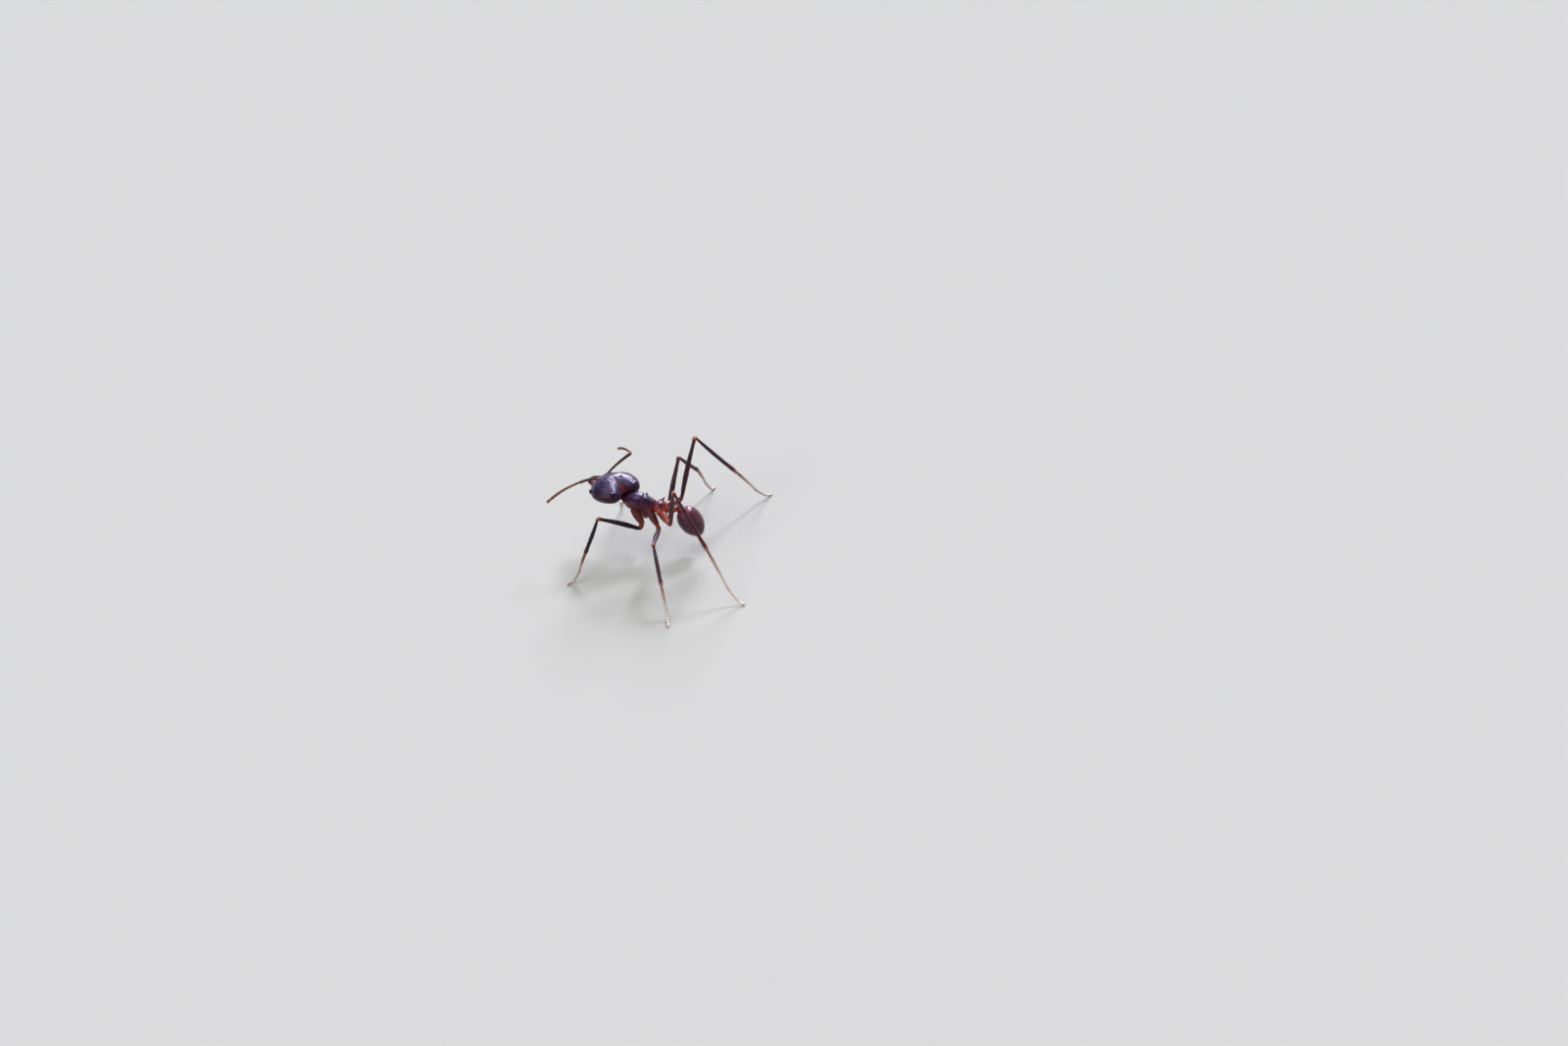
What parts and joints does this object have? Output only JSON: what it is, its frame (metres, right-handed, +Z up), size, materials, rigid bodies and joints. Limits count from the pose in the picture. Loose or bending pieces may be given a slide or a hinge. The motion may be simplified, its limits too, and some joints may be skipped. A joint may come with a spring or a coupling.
{
  "type": "leafcutter ant",
  "caption": "Large leafcutter ant worker standing on long legs, heart-shaped head turned to its right, elbowed feelers, spined trunk, narrow waist and hanging gaster.",
  "frame": {"origin": "on the floor, under the middle of the box round the whole ant with its legs spread", "axes": "+Z up, the ant faces -Y and its left side is +X"},
  "size_m": [0.019, 0.0172, 0.0089],
  "materials": {
    "head_shell": "very dark red-brown, glossy, finely dimpled shell",
    "eye": "black, glossy, many small lenses",
    "jaw": "dark red-brown, glossy, finely grooved",
    "gaster_shell": "dark maroon, satin, with fine hairs",
    "trunk_shell": "dark maroon red, glossy on the raised parts",
    "red_shell": "red-brown to orange-red, glossy",
    "leg": "dark brown, satin, orange-pink at the joints",
    "tarsus": "pale tan, satin, hairy",
    "feeler": "brown, satin, paler towards the tip"
  },
  "bodies": {
    "root": {"coxa_left_front": "red_shell", "coxa_left_hind": "red_shell", "coxa_left_middle": "red_shell", "coxa_right_front": "red_shell", "coxa_right_hind": "red_shell", "coxa_right_middle": "red_shell", "eye_left": "eye", "eye_right": "eye", "femur_left_front": "leg", "femur_left_hind": "leg", "femur_left_middle": "leg", "femur_right_front": "leg", "femur_right_hind": "leg", "femur_right_middle": "leg", "foot_left_front": "tarsus", "foot_left_hind": "tarsus", "foot_left_middle": "tarsus", "foot_right_front": "tarsus", "foot_right_hind": "tarsus", "foot_right_middle": "tarsus", "funiculus_left": "feeler", "funiculus_right": "feeler", "gaster_1": "gaster_shell", "gaster_2": "gaster_shell", "gaster_3": "gaster_shell", "gaster_4": "gaster_shell", "head": "head_shell", "mandible_left": "jaw", "mandible_right": "jaw", "mesonotum": "trunk_shell", "neck": "trunk_shell", "petiole": "red_shell", "postpetiole": "red_shell", "pronotum": "trunk_shell", "propodeum": "trunk_shell", "scape_left": "feeler", "scape_right": "feeler", "tarsus_left_front": "tarsus", "tarsus_left_hind": "tarsus", "tarsus_left_middle": "tarsus", "tarsus_right_front": "tarsus", "tarsus_right_hind": "tarsus", "tarsus_right_middle": "tarsus", "tibia_left_front": "leg", "tibia_left_hind": "leg", "tibia_left_middle": "leg", "tibia_right_front": "leg", "tibia_right_hind": "leg", "tibia_right_middle": "leg", "trochanter_left_front": "red_shell", "trochanter_left_hind": "red_shell", "trochanter_left_middle": "red_shell", "trochanter_right_front": "red_shell", "trochanter_right_hind": "red_shell", "trochanter_right_middle": "red_shell"}
  },
  "joints": []
}
